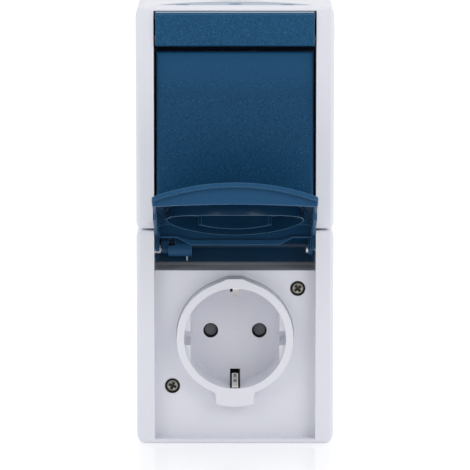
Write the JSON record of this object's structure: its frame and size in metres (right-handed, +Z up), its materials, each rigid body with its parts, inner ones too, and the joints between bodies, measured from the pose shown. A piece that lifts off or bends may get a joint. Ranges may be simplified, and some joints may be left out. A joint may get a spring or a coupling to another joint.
{
  "type": "switched socket",
  "caption": "Surface-mount wall unit: a blue rocker switch above an earthed side-contact socket in a recessed plate, under a blue hinged lid shown open.",
  "frame": {"origin": "middle of the back face, on the wall", "axes": "+X to the right seen from the front, +Y into the wall, +Z up; the front faces -Y"},
  "size_m": [0.076, 0.1049, 0.1717],
  "materials": {
    "white_plastic": "white moulded plastic, satin",
    "blue_plastic": "dark blue moulded plastic, fine grain",
    "grey_plastic": "grey insulating plastic",
    "dark_plastic": "dark grey plastic",
    "soft_rubber": "black rubber",
    "screw_steel": "plated steel",
    "spring_steel": "bright spring steel",
    "contact_brass": "bare brass"
  },
  "bodies": {
    "housing": {"back_box": "white_plastic", "box_gasket": "soft_rubber", "lower_cover": "white_plastic", "upper_cover": "white_plastic", "switch_seal": "soft_rubber", "label_strip": "blue_plastic", "cover_screws": "screw_steel", "screw_seals": "soft_rubber", "socket_insert": "white_plastic", "socket_base": "grey_plastic", "earth_bow": "spring_steel", "line_contact": "contact_brass", "neutral_contact": "contact_brass", "terminal_screws": "screw_steel", "earth_screw": "screw_steel", "base_screws": "screw_steel", "switch_base": "grey_plastic", "common_contact": "contact_brass", "load_contact": "contact_brass", "hinge_pin_left": "screw_steel", "hinge_pin_right": "screw_steel", "shutter_spring": "spring_steel", "entry_grommet": "soft_rubber"},
    "lid": {"lid": "blue_plastic", "lid_spring": "spring_steel"},
    "rocker": {"rocker": "blue_plastic", "plunger": "grey_plastic", "plunger_spring": "spring_steel"},
    "bridge": {"contact_bridge": "contact_brass"},
    "shutter": {"shutter": "dark_plastic"}
  },
  "joints": [
    {"name": "lid_hinge", "type": "hinge", "parent": "housing", "child": "lid", "pos_m": [0, -0.0387, -0.01001], "axis": [1, 0, 0], "range_deg": [0, 107.5], "deforming": ["lid_spring"]},
    {"name": "rocker_tilt", "type": "hinge", "parent": "housing", "child": "rocker", "pos_m": [0, -0.04, 0.03715], "axis": [1, 0, 0], "range_deg": [0, 8]},
    {"name": "bridge_tilt", "type": "hinge", "parent": "housing", "child": "bridge", "pos_m": [0, -0.019, 0.03715], "axis": [1, 0, 0], "range_deg": [-12, 0]},
    {"name": "shutter_turn", "type": "hinge", "parent": "housing", "child": "shutter", "pos_m": [0, -0.028, -0.04355], "axis": [0, -1, 0], "range_deg": [0, 50], "stiffness_Nm_per_rad": 0.002, "springref_deg": -28.65, "deforming": ["shutter_spring"]}
  ],
  "couplings": [
    {"joint": "bridge_tilt", "follows": "rocker_tilt", "ratio": -1.5}
  ]
}
